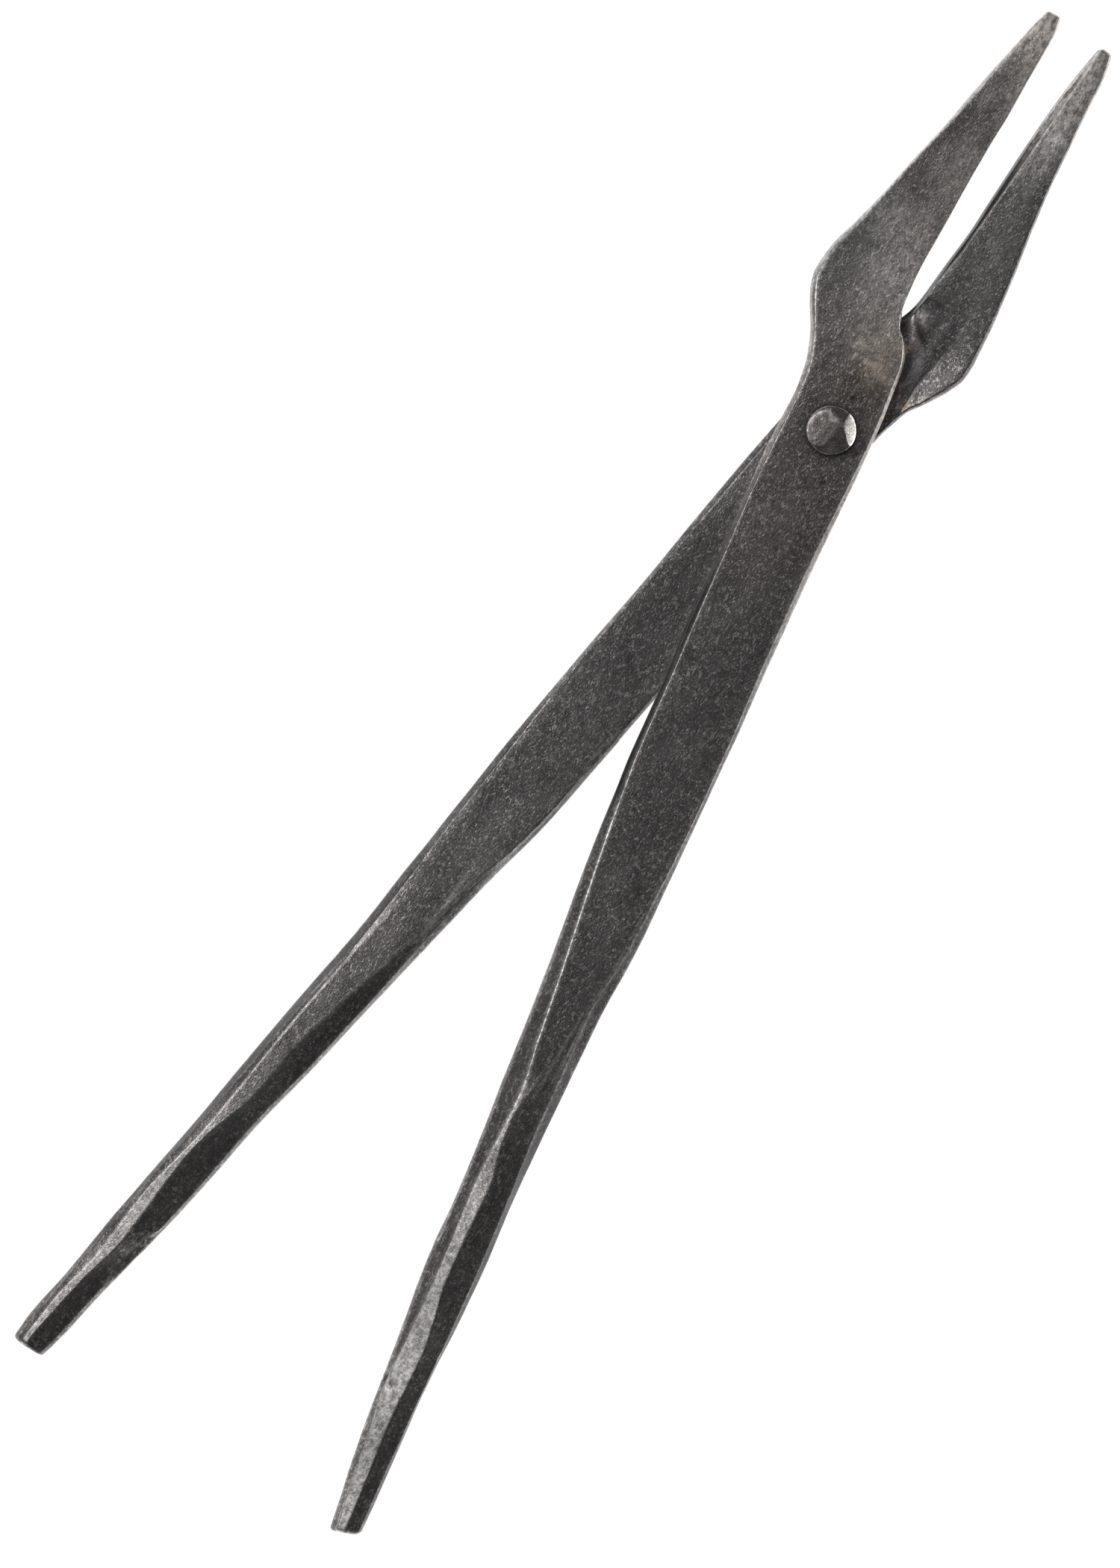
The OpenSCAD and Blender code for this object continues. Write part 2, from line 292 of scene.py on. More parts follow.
frontHalf = {
    "tip": {"y": 125.6, "round": 1.2},
    "end": {"y": -320.0, "round": 1.4, "slant": 0.35, "hinge": 31, "blend": 8},
    "step": 0.55,
    "seed": 11,
    "bore": 8,
    "calm": (7, 10),                       # the relief fades in between these distances from the rivet
    "shadowRing": (8.4, 6.6),                # and a painted contact shadow lies round the rivet's head between these
    "lipFrom": (38, 40), "lipWidth": 1.8, "lipHeight": 1.0,
    "relief": [(17, 0.16), (7, 0.09), (2.6, 0.035)],
    "wearWidth": 0.45,
    # corner: rounding radius, points on the flat that follows
    "corners": {
        "left": (0.6, 2), "leftChamfer": (0.35, 3), "faceLeft": (0.3, 14), "crest": (0.6, 14),
        "faceRight": (0.3, 3), "right": (0.5, 4), "underRight": (0.6, 3), "cheekRight": (0.6, 14),
        "cheekLeft": (0.6, 3), "underLeft": (0.6, 4),
    },
    # how far the scale is rubbed off each edge along the bar
    "rubbedEdge": {
        "left": [(127, 0.5), (20, 0.5), (0, 0.2), (-15, 0), (-90, 0), (-320, 0.3)],
        "leftChamfer": [(127, 0.6), (20, 0.6), (5, 0.1), (-15, 0), (-320, 0)],
        "faceLeft": [(127, 0.6), (45, 0.9), (14, 0.6), (0, 0.1), (-85, 0.1), (-95, 0.3), (-112, 0.4),
                     (-120, 1), (-200, 1), (-240, 0.5), (-285, 0.7), (-292, 1), (-320, 1)],
        "crest": [(127, 0), (-180, 0), (-200, 0.5), (-215, 0.1), (-320, 0.1)],
        "faceRight": [(127, 0.5), (40, 0.8), (0, 0.7), (-60, 0.7), (-165, 0.8), (-200, 0.6), (-215, 0.1),
                      (-320, 0.1)],
        "right": [(127, 0.1), (35, 0.2), (28, 0.9), (0, 0.6), (-60, 0.5), (-120, 0.3), (-200, 0),
                  (-320, 0.1)],
        "underRight": lightly, "cheekRight": lightly, "cheekLeft": lightly, "underLeft": lightly,
    },
    # rubbed patches (bare metal, partly painted highlight), rusty patches and patches of painted shade: x, y,
    # half width, half length, strength
    # ribbons: kind, the two lines they lie between, and rows (y, strength)
    "rubbedAndHighlight": [(1, 29, 6, 8, 0.22), (1, 20.8, 4, 1.3, 0.6), (6, 19, 3, 1.2, 0.5), (-5, 24, 3, 1.6, 0.45),
               (-6.2, 32, 1.6, 6, 0.4), (-1.5, 41, 1.6, 4, 0.5), (-5, 50, 9, 14, 0.55),
               (-13, 56, 5, 8, 0.55), (-3, 78, 8, 12, 0.4), (-3, 120, 8, 14, 1.0), (-1, 104, 4, 14, 0.6),
               (-6, 100, 5, 8, 0.3), (18.5, -180, 0.5, 14, 0.5), (20.5, -178, 0.5, 14, 0.5)],
    "ribbons": [
        ("rub", "faceLeft", "crest", [(127, 0), (-200, 0), (-212, 0.25), (-235, 0.4), (-258, 1),
                                      (-320, 1)]),
        ("soot", "faceRight", "right", [(127, 0), (-60, 0), (-75, 0.45), (-150, 0.45), (-180, 0.3),
                                        (-200, 0.9), (-300, 0.8), (-320, 0.4)]),
        ("rub", "faceRight", "right", [(127, 0), (33, 0), (30, 0.6), (10, 0.5), (-8, 0.15), (-50, 0.4),
                                       (-80, 0), (-165, 0), (-320, 0)]),
        ("rub", "left", "faceLeft", [(127, 0.9), (60, 0.7), (40, 0.3), (6, 0.2), (-10, 0.2), (-20, 0),
                                     (-320, 0)]),
        ("soot", "left", "faceLeft", [(127, 0), (-14, 0), (-30, 0.8), (-50, 1), (-110, 1), (-120, 0.3),
                                      (-140, 0), (-320, 0)]),
    ],
    "rusty": [(2, 20, 12, 20, 0.8), (0, -20, 14, 26, 0.35), (-5, 70, 9, 30, 0.3), (-2, 114, 6, 16, 0.5),
              (-3, 126, 4, 1.5, 0.8)],
    "shadePatches": [(-1, 0, 10, 8, 0.5), (-12, 87, 9, 7, 0.35), (-20, 38, 6, 12, 0.35), (-12, 22, 5, 4, 0.4),
              (8, -70, 14, 50, 0.25), (1.3, 10.2, 0.9, 0.9, 1), (9, -1.9, 1, 0.9, 1),
              (6.5, -5.3, 0.8, 0.8, 0.8), (5.3, -13.3, 0.8, 0.8, 1), (3, -35, 0.6, 0.6, 1),
              (-3, 125, 6, 1, 0.5), (22.3, -280.5, 1.1, 0.5, 1), (20.9, -279.3, 0.5, 1.2, 1),
              (24, -282.6, 0.7, 0.5, 0.9)],
    # rows (y, x) of the lines that run along the bar
    "left": [(126.8, -4.6), (122, -6), (110, -8.6), (98, -11.2), (86, -13.6), (74, -16.6), (62, -19.2),
             (52, -21.9), (44, -24.2), (40, -24.7), (36, -24.9), (32, -24), (28, -22.2), (20, -17.8),
             (12, -14.9), (4, -13.6), (-8, -13.1), (-20, -12.3), (-40, -10.2), (-60, -8.8), (-80, -6.2),
             (-100, -4.4), (-120, -2), (-140, 0.8), (-160, 4.2), (-180, 7), (-200, 9.6), (-220, 12.3),
             (-230, 13.3), (-240, 14), (-260, 16.8), (-280, 19.9), (-300, 23.1), (-310, 25),
             (-320, 27.3)],
    "right": [(126.8, -0.7), (122, 0), (98, 0), (86, -0.4), (62, -0.5), (52, -0.6), (44, -0.1),
              (40, 0.35), (38, 0.7), (36.5, 1.3), (35, 2), (32.8, 3.0), (31, 5.2), (28, 7.3), (24, 8.6),
              (16, 9.9), (8, 10.9), (0, 11.6), (-8, 12.2), (-20, 12.9), (-40, 14.4), (-60, 16.1),
              (-90, 18.9), (-120, 21.1), (-150, 23.1), (-165, 23.3), (-180, 24.1), (-200, 25.5),
              (-220, 27), (-240, 29.4), (-260, 30.8), (-270, 31.1), (-290, 32.7), (-310, 34.7),
              (-320, 35.4)],
    "faceLeft": [(126.8, -4.1), (110, -8.1), (90, -12.3), (75, -16.0), (60, -19.3), (50, -21.7),
                 (44, -23.4), (40, -23.8), (35, -23.5), (30, -21.6), (25, -18.9), (20, -16.4),
                 (15, -14.4), (10, -13), (0, -12.2), (-20, -11), (-50, -7.9), (-75, -5.3), (-100, -2.8),
                 (-120, 0.3), (-140, 4), (-160, 8), (-180, 11.7), (-195, 14.6), (-205, 15.1),
                 (-220, 15.7), (-240, 18), (-260, 19.9), (-280, 21.3), (-295, 24.5), (-310, 26.8),
                 (-322, 29.5)],
    "crest": [(126.8, -2.4), (98, -5.5), (62, -10), (40, -11), (20, -3.5), (0, -0.6), (-60, 3.5),
              (-120, 10.5), (-165, 17.3), (-185, 17.5), (-200, 15.75), (-210, 16.8), (-220, 19.5),
              (-230, 20.4), (-250, 22.1), (-258, 24), (-270, 26.2), (-288, 27.2), (-302, 29),
              (-322, 31.5)],
    "faceRight": [(126.8, -1), (122, -0.3), (98, -0.3), (62, -0.8), (44, -0.3), (36.5, 1.0), (32.8, 2.6),
                  (31, 4.4), (28.5, 6), (24, 7.8), (16, 8.8), (8, 9.9), (0, 10.7), (-8, 11.1),
                  (-30, 12.2), (-60, 14.6), (-90, 17.8), (-120, 19.8), (-150, 20.7), (-165, 20),
                  (-180, 21.2), (-200, 23), (-220, 25.5), (-240, 28), (-260, 29.9), (-290, 32.2),
                  (-320, 34.8)],
    # heights of the outer and the inner face, and how far each corner lies below the outer one
    "top": [(126.8, 2.6), (120, 3.2), (50, 3.2), (14, 7.05), (-14, 7.05), (-60, 7.55), (-120, 7.95),
            (-165, 7.3), (-200, 6.4), (-240, 5), (-280, 2), (-312, -1.05), (-320, -1.35)],
    "under": [(126.8, -2.6), (120, -3.2), (43, -3.2), (42, -3.2), (38, 0.05), (37, 0.05), (-20, 0.05),
              (-120, 0.35), (-140, -1), (-165, -3.2), (-200, -5.9), (-240, -7.2), (-280, -8.4),
              (-312, -9.75), (-320, -9.75)],
    "stripSlope": [(127, 0), (-185, 0), (-198, 0.2), (-206, 0.31), (-320, 0.29)],
    "chamferWidth": [(127, 0.2), (50, 0.3), (26, 0.5), (4, 0.5), (-85, 0.7), (-120, 0.9), (-195, 1),
                     (-230, 0.6), (-240, 1), (-320, 0.8)],
    "chamferDrop": [(127, 0.4), (60, 0.5), (26, 0.9), (-85, 0.9), (-120, 1.2), (-165, 2.4), (-190, 3.2),
                    (-240, 3.5), (-270, 2.8), (-295, 2.4), (-320, 1.8)],
    "leftDrop": [(127, 1.2), (60, 1.4), (26, 2), (4, 1.8), (-85, 2.2), (-120, 2.8), (-165, 4),
                 (-190, 4.6), (-240, 5), (-270, 4), (-295, 3.4), (-320, 2.8)],
    "faceRightDrop": [(127, 0.1), (-160, 0.12), (-185, 0.3), (-206, 0.7), (-219, 1.1), (-228, 2.3),
                      (-240, 2.8), (-264, 2.6), (-295, 2), (-320, 1.6)],
    "rightDrop": [(127, 0.5), (40, 0.5), (30, 1.3), (-8, 1.6), (-60, 1.7), (-120, 1.9), (-165, 2.6),
                  (-195, 3.3), (-215, 4.6), (-240, 5.4), (-264, 5), (-295, 4.2), (-320, 3.2)],
    "hiddenWidth": [(127, 0.8), (0, 0.8), (-100, 1.2), (-165, 3), (-240, 3.4), (-320, 2.2)],
    "hiddenDrop": [(127, 0.8), (0, 0.8), (-100, 1.2), (-165, 2.6), (-240, 3.2), (-320, 2.2)],
    # x, y, radius, depth
    "dents": [(22.4, -280.4, 1.2, 0.3), (21, -278.8, 0.9, 0.2), (15.4, -243.5, 0.8, 0.25),
              (1.3, 10.3, 1.1, 0.18), (9, -1.9, 1.1, 0.15), (6.5, -5.3, 0.9, 0.1), (5.3, -13.3, 0.9, 0.2),
              (3, -35, 0.8, 0.15), (-18, 33, 0.9, 0.12), (-13, 57, 0.7, 0.1), (22, -203, 1.3, 0.22),
              (3.5, 62, 2, 0.1), (-6, -8, 1.4, 0.08)],
}


def frontCorners(y):
    # the ten corners (x, z) round the bar at each place, clockwise from its back edge
    s = frontHalf
    left, right = follow(y, s["left"]), follow(y, s["right"])
    top, under = follow(y, s["top"]), follow(y, s["under"])
    faceLeft, crest = follow(y, s["faceLeft"]), follow(y, s["crest"])
    lip = fade(y, *s["lipFrom"])                # the gripping edge leans back below its upright land
    lipWidth = lip * s["lipWidth"] + (1 - lip) * follow(y, s["hiddenWidth"])
    lipHeight = lip * (s["lipHeight"] - under) + (1 - lip) * follow(y, s["hiddenDrop"])
    table = {
        "left": (left, top - follow(y, s["leftDrop"])),
        "leftChamfer": (left + follow(y, s["chamferWidth"]), top - follow(y, s["chamferDrop"])),
        "faceLeft": (faceLeft, top - follow(y, s["stripSlope"]) * (crest - faceLeft)),
        "crest": (crest, top),
        "faceRight": (follow(y, s["faceRight"]), top - follow(y, s["faceRightDrop"])),
        "right": (right, top - follow(y, s["rightDrop"])),
        "underRight": (right, under + lipHeight),
        "cheekRight": (right - lipWidth, under),
        "cheekLeft": (left + follow(y, s["hiddenWidth"]), under),
        "underLeft": (left, under + follow(y, s["hiddenDrop"])),
    }
    return list(table), np.stack([np.stack(v, axis=1) for v in table.values()], axis=1)


def makeFrontHalf():
    # the visible side lies above the middle of the bar, and only it gets rubbed patches with painted
    # highlight, painted shade and dents
    points, wear = forge(frontHalf, frontCorners)
    middle = (follow(points[:, :, 1], frontHalf["top"]) + follow(points[:, :, 1], frontHalf["under"])) / 2
    out = points[:, :, 2] > middle
    points = relieve(points, out, frontHalf)
    away = np.hypot(points[:, :, 0], points[:, :, 1])
    # painted shade: darker patches and strips where the bar lies in shade, and a painted contact shadow round
    # the rivet's head
    soot = np.maximum(patches(points, frontHalf["shadePatches"]), ribbons(points, frontHalf, "soot"))
    soot = np.maximum(soot, fade(away, *frontHalf["shadowRing"]))
    # rubbed bare metal, with lighter patches painted where the faces catch the light (painted highlight)
    rub = np.maximum(patches(points, frontHalf["rubbedAndHighlight"]), ribbons(points, frontHalf, "rub"))
    rust = patches(points, frontHalf["rusty"])
    marks = {"wear": wear, "rust": rust * out, "rub": rub * out, "soot": soot * out}

    def place(p):
        return turned(p, halfOpen) + pivot / mm

    piece = makeMesh("front_half_forged", points, marks, place)
    boreThrough(piece, frontHalf["bore"])
    return piece


# The same, but turned over: its inner face shows, and its own x runs to the left seen from above.

rearHalf = {
    "tip": {"y": 124.4, "round": 1.2},
    "end": {"y": -322.8, "round": 1.4, "slant": 0.0, "hinge": 38, "blend": 8},
    "step": 0.55,
    "seed": 31,
    "bore": 8.1,
    "calm": (7, 10),
    # where along the bar: the jaw's inner cheek, its lip, the shoulder's two ends and the neck below it
    "cheekFrom": (38.2, 41.5), "cheek": 0.05, "lipFrom": (38, 41), "lipHeight": 1,
    "shoulderTop": (50, 44), "shoulderFoot": (8, 11), "neck": 11,
    # the inner face shows below and above these places, and left of the other half's neck
    "showsBelow": -100, "showsAbove": 44, "besideNeck": (4, -9),
    # painted shade on the jaw's lip wall: along the bar between these places, and across from the face's
    # right line over this width
    "lipShade": {"tip": (106, 88), "root": (30, 34), "blend": 0.3},
    # the two corners between face and right edge: steps sideways and down on the lip, and elsewhere shares
    # of the bevel's width and depth
    "ledge": (0.15, 0.8, 0.35, 0.3), "ledgeEdge": (-0.75, 1.5, -0.3, 0.65),
    "relief": [(17, 0.16), (7, 0.09), (2.6, 0.035)],
    "wearWidth": 0.45,
    "corners": {
        "left": (0.6, 2), "leftChamfer": (0.35, 5), "faceLeft": (0.5, 7), "slopeTop": (2.0, 3),
        "slopeFoot": (2.0, 7), "crest": (0.5, 3), "faceRight": (0.3, 1), "ledge": (0.2, 2),
        "ledgeEdge": (0.3, 1), "right": (0.5, 4),
        "underRight": (0.6, 3), "cheekRight": (0.6, 12), "cheekLeft": (0.6, 3), "underLeft": (0.6, 4),
    },
    "rubbedEdge": {
        "left": [(127, 0.3), (-320, 0.3)], "leftChamfer": [(127, 0.3), (-5, 0.2), (-320, 0.2)],
        "faceLeft": [(127, 0.5), (60, 0.1), (0, 0.1), (-95, 0.3), (-99, 1), (-113, 1), (-120, 0.3),
                     (-145, 1), (-190, 1), (-220, 0.3), (-320, 0.3)],
        "slopeTop": never, "slopeFoot": never,
        "crest": [(127, 0), (-120, 0), (-240, 0.2), (-262, 0.5), (-320, 0.5)],
        "faceRight": [(127, 0.5), (60, 0.1), (0, 0), (-185, 0.1), (-198, 0.6), (-210, 0.1), (-320, 0.2)],
        "ledge": never, "ledgeEdge": never, "right": [(127, 0.1), (-320, 0.25)],
        "underRight": lightly, "cheekRight": lightly, "cheekLeft": lightly, "underLeft": lightly,
    },
    # rubbed patches, partly painted highlight: x, y, half width, half length, strength
    "rubbedAndHighlight": [(-4, 114, 6, 14, 1.0), (-5, 100, 5, 14, 1.0), (-3, 39, 1.8, 2.2, 1.0),
               (-10, 60, 6, 14, 0.15), (13.5, -168, 0.8, 14, 0.6), (25, -205, 3.5, 20, 0.12),
               (28, -232, 2.5, 16, 0.1)],
    # painted shade beside the other half's edge and round the crossing: x, y, half width, half length,
    # strength
    "shadePatches": [(-8.5, 28, 4, 8, 0.8), (0, 34.5, 2, 2.4, 1.0), (10, -60, 12, 40, 0.3)],
    "ribbons": [
        ("soot", "slopeTop", "slopeFoot", [(127, 0), (37.5, 0), (34.5, 1), (20, 1), (14, 0), (-320, 0)]),
        ("soot", "faceRight", "right", [(127, 0), (-90, 0), (-110, 0.7), (-180, 0.8), (-200, 0.9),
                                        (-260, 0.9), (-290, 0.5), (-320, 0.2)]),
        ("rub", "faceLeft", "crest", [(127, 0), (-240, 0), (-262, 0.35), (-320, 0.4)]),
        ("rub", "faceRight", "right", [(127, 1), (104, 1), (86, 0), (-320, 0)]),
        ("soot", "left", "faceLeft", [(127, 0), (-40, 0), (-70, 0.7), (-130, 0.7), (-150, 0.2), (-320, 0)]),
    ],
    "rusty": [(-4.4, 29.5, 1.9, 3.4, 1.2), (-12.5, 17, 1.2, 2.2, 1.2), (-4, 112, 6, 16, 0.3)],
    # rows (y, x) of the lines that run along the bar
    "left": [(125.6, -5.2), (122, -6.4), (118, -7.2), (110, -8.3), (98, -10), (86, -11.9), (74, -14.3),
             (62, -17.1), (48, -19.9), (40, -21.1), (36, -21.6), (32, -21.7), (28, -20.5), (20, -16.4),
             (16, -14), (12, -12.9), (4, -11.3), (-20, -10), (-60, -5.2), (-90, -1.4), (-110, 0.9),
             (-130, 3.4), (-150, 7.2), (-180, 12), (-200, 15.2), (-220, 18.2), (-240, 21.8), (-260, 24.1),
             (-280, 26.9), (-300, 30.4), (-320, 33.4), (-324, 34.4)],
    "right": [(125.6, -1.4), (122, -1), (114, -0.3), (106, 0), (98, 0.1), (74, -0.2), (66, -0.4), (54, 0),
              (44, 0.2), (40, 0.6), (37, 1.4), (32, 3.4), (28, 6.4), (20, 9), (8, 11), (-4, 13),
              (-12, 14), (-20, 14.95), (-40, 16.8), (-60, 18.6), (-80, 20.9), (-100, 22.9), (-120, 24.6),
              (-140, 26.2), (-160, 27.5), (-180, 28.8), (-200, 31.2), (-220, 33.4), (-250, 36.2),
              (-280, 39.6), (-300, 41.4), (-320, 43.6), (-324, 43.6)],
    "faceLeft": [(125.6, -4.8), (110, -7.8), (90, -10.8), (75, -13.2), (62, -14.5), (55, -13.5),
                 (35, -13.5), (27, -12.6), (22.6, -12.2), (15, -12.5), (11, -12.1), (4, -10.8),
                 (-20, -9.4), (-60, -4.4), (-90, 0), (-110, 2.5), (-125, 4), (-140, 6.7), (-150, 9.6),
                 (-165, 13.2), (-180, 16.5), (-190, 19.3), (-205, 22.7), (-215, 24.8), (-235, 27),
                 (-250, 31.5), (-260, 33), (-285, 33.9), (-300, 36.9), (-320, 39.8)],
    "crest": [(125.6, -2.5), (62, -3.2), (44, -1.4), (36, 0.6), (28, 4), (0, 8), (-60, 15), (-110, 20.5),
              (-126, 22.3), (-165, 23.5), (-190, 27), (-215, 29.8), (-240, 31.8), (-250, 32.8),
              (-260, 34.5), (-275, 37), (-290, 37.3), (-310, 40.5), (-320, 41)],
    "faceRight": [(125.6, -2), (122, -2.1), (60, -1.9), (55, -1.5), (45, -0.9), (41, -0.6), (38, -0.1),
                  (32, 2.6), (28, 5.4), (20, 8), (0, 11), (-40, 15.4), (-90, 21), (-120, 23),
                  (-145, 24.9), (-165, 25.7), (-180, 26.8), (-200, 29.2), (-210, 30.5), (-250, 34.9),
                  (-270, 37.6), (-290, 39.3), (-300, 40.6), (-320, 42.5)],
    # shoulder beside the other half: place of its slope's top and foot
    "slopeTop": [(46, -2.6), (41, -1.6), (39, -2), (37.5, -3), (36, -5.5), (33, -9), (28, -11.6),
                 (24, -11.8), (20, -11.9), (15, -12.1), (11, -10.8)],
    "slopeFoot": [(46, -1.4), (41, -0.8), (39, -0.9), (37.5, -1.2), (36, -2.2), (32, -5), (28, -7.4),
                  (24, -8.8), (20, -9.8), (15, -11.3), (11, -10)],
    # heights of the inner face and of the outer one below, and how far each corner lies from its face
    "heel": [(125.6, -2.6), (120, -3.2), (48, -3.2), (44, -2.85), (40, -2.2), (36, -1.5), (32, -0.9),
             (28, -0.45), (24, -0.2), (18, -0.05), (11, 0.05), (-20, 0.05), (-120, 0.35), (-140, -0.8),
             (-165, -2.6), (-200, -3.6), (-240, -3), (-280, -1.2), (-312, 1.05), (-322, 1.35)],
    "under": [(125.6, 2.6), (118, 3.2), (50, 3.2), (14, 7.05), (-14, 7.05), (-60, 7.35), (-120, 7.85),
              (-200, 8.5), (-240, 8.8), (-280, 9.3), (-312, 9.75), (-322, 9.75)],
    "chamferWidth": [(127, 0.3), (60, 0.5), (40, 1), (28, 1), (16, 0.5), (-90, 0.7), (-145, 1),
                     (-165, 1.6), (-200, 0.9), (-240, 0.9), (-277, 0.8), (-283, 2.4), (-292, 2.8),
                     (-300, 1), (-320, 1)],
    "chamferDrop": [(127, 0.3), (60, 0.2), (50, 0.05), (44, -0.25), (40, -0.5), (36, -0.75), (30, -0.9),
                    (24, -0.85), (20, -0.5), (16, -0.15), (11, 0.4), (-90, 0.5), (-145, 1.2), (-165, 1.4),
                    (-190, 1.8), (-215, 2.5), (-250, 2.9), (-280, 2.4), (-320, 1.6)],
    "leftDrop": [(127, 1.1), (60, 1.2), (44, 0.8), (35, 0.4), (25, 0.1), (20, 0.3), (16, 0.7), (11, 1.2),
                 (-90, 1.6), (-120, 1.8), (-150, 2.6), (-190, 3.9), (-215, 4.4), (-250, 4.6), (-290, 3.8),
                 (-320, 2.8)],
    "faceLeftDrop": [(127, 0.1), (62, 0.1), (50, 0.05), (18, 0.05), (-320, 0)],
    "stripSlope": [(127, 0), (-150, 0), (-190, 0.025), (-235, 0.05), (-250, 0.16), (-265, 0.19),
                   (-320, 0.22)],
    "faceRightDrop": [(127, 0.05), (-120, 0.1), (-165, 0.2), (-200, 0.6), (-240, 1.1), (-270, 1),
                      (-320, 0.9)],
    "rightDrop": [(36, 0.8), (20, 1.4), (-90, 1.6), (-145, 2.6), (-180, 3), (-200, 4), (-240, 4.4),
                  (-270, 3.6), (-320, 2.8)],
    "hiddenWidth": [(127, 0.8), (0, 0.8), (-100, 1.2), (-165, 3), (-240, 3.4), (-320, 2.2)],
    "hiddenDrop": [(127, 0.8), (0, 0.8), (-100, 1.2), (-165, 2.6), (-240, 3.2), (-320, 2.2)],
    "dents": [(-14.5, 21.5, 1.0, 0.2), (-16, 52, 0.9, 0.1), (-4, 78, 1.5, 0.1), (30.5, -288, 2.5, 0.3)],
}


def rearCorners(y):
    # the fourteen corners (x, z) round the bar at each place. Two lines across the inner face carry the
    # shoulder's slope, and two beside the right edge shape the jaw's lip and elsewhere share out the bevel
    s = rearHalf
    left, right = follow(y, s["left"]), follow(y, s["right"])
    heel, under = follow(y, s["heel"]), follow(y, s["under"])
    gripping = fade(y, *s["cheekFrom"])         # beyond this the inner cheek steps out to the jaw
    cheek = heel * gripping + s["cheek"] * (1 - gripping)
    cheek = np.where(y < s["neck"], heel, cheek)
    faceLeft, faceRight = follow(y, s["faceLeft"]), follow(y, s["faceRight"])
    crest = follow(y, s["crest"])
    shoulder = fade(y, *s["shoulderTop"]) * fade(y, *s["shoulderFoot"])
    nearShare, farShare = 0.35, 0.65            # of the flat, where it has no shoulder
    plainTop = faceLeft + (crest - faceLeft) * nearShare
    slopeTop = plainTop + (follow(y, s["slopeTop"]) - plainTop) * shoulder
    plainFoot = faceLeft + (crest - faceLeft) * farShare
    slopeFoot = plainFoot + (follow(y, s["slopeFoot"]) - plainFoot) * shoulder
    lip = fade(y, *s["lipFrom"])
    rightDrop = lip * (s["lipHeight"] - cheek) + (1 - lip) * follow(y, s["rightDrop"])
    # the crest's drop is shared out over the flats beside it
    drop = follow(y, s["stripSlope"]) * (crest - faceLeft)
    edgeDrop = drop + follow(y, s["faceRightDrop"])

    def ledge(edge, aside, down, widthShare, depthShare):
        x = edge + lip * aside + (1 - lip) * (right - faceRight) * widthShare
        return x, cheek + edgeDrop + lip * down + (1 - lip) * (rightDrop - edgeDrop) * depthShare

    table = {
        "left": (left, heel + follow(y, s["leftDrop"])),
        "leftChamfer": (left + follow(y, s["chamferWidth"]), heel + follow(y, s["chamferDrop"])),
        "faceLeft": (faceLeft, heel + follow(y, s["faceLeftDrop"])),
        "slopeTop": (slopeTop, heel + drop * nearShare),
        "slopeFoot": (slopeFoot, cheek + drop * farShare),
        "crest": (crest, cheek + drop),
        "faceRight": (faceRight, cheek + edgeDrop),
        "ledge": ledge(faceRight, *s["ledge"]),
        "ledgeEdge": ledge(right, *s["ledgeEdge"]),
        "right": (right, cheek + rightDrop),
        "underRight": (right, under - follow(y, s["hiddenDrop"])),
        "cheekRight": (right - follow(y, s["hiddenWidth"]), under),
        "cheekLeft": (left + follow(y, s["hiddenWidth"]), under),
        "underLeft": (left, under - follow(y, s["hiddenDrop"])),
    }
    return list(table), np.stack([np.stack(v, axis=1) for v in table.values()], axis=1)


def makeRearHalf():
    # as the front half, but relief stays off the face that the front half slides over
    points, wear = forge(rearHalf, rearCorners)
    x, y = points[:, :, 0], points[:, :, 1]
    middle = (follow(y, rearHalf["heel"]) + follow(y, rearHalf["under"])) / 2
    outer = points[:, :, 2] < middle
    neckY, neckX = rearHalf["besideNeck"]
    besideNeck = (y > neckY) & (x < neckX)
    shows = outer & ((y < rearHalf["showsBelow"]) | (y > rearHalf["showsAbove"]) | besideNeck)
    points = relieve(points, shows, rearHalf)
    # painted shade along the lip's wall, where the gripping edge lies in shade; no wear shows there
    lipShade = rearHalf["lipShade"]
    lipLine = follow(y, rearHalf["faceRight"])
    lip = fade(x, lipLine, lipLine + lipShade["blend"])
    lip = lip * fade(y, *lipShade["tip"]) * fade(y, *lipShade["root"])
    rub = np.maximum(patches(points, rearHalf["rubbedAndHighlight"]), ribbons(points, rearHalf, "rub"))
    soot = np.maximum(patches(points, rearHalf["shadePatches"]), ribbons(points, rearHalf, "soot"))
    marks = {"wear": wear * (1 - lip), "rust": patches(points, rearHalf["rusty"]) * outer, "rub": rub * outer,
             "soot": np.maximum(soot * outer, lip)}

    def place(p):
        return turned(p * np.array([-1, 1, -1]), -halfOpen) + pivot / mm

    piece = makeMesh("rear_half_forged", points, marks, place)
    boreThrough(piece, rearHalf["bore"])
    return piece


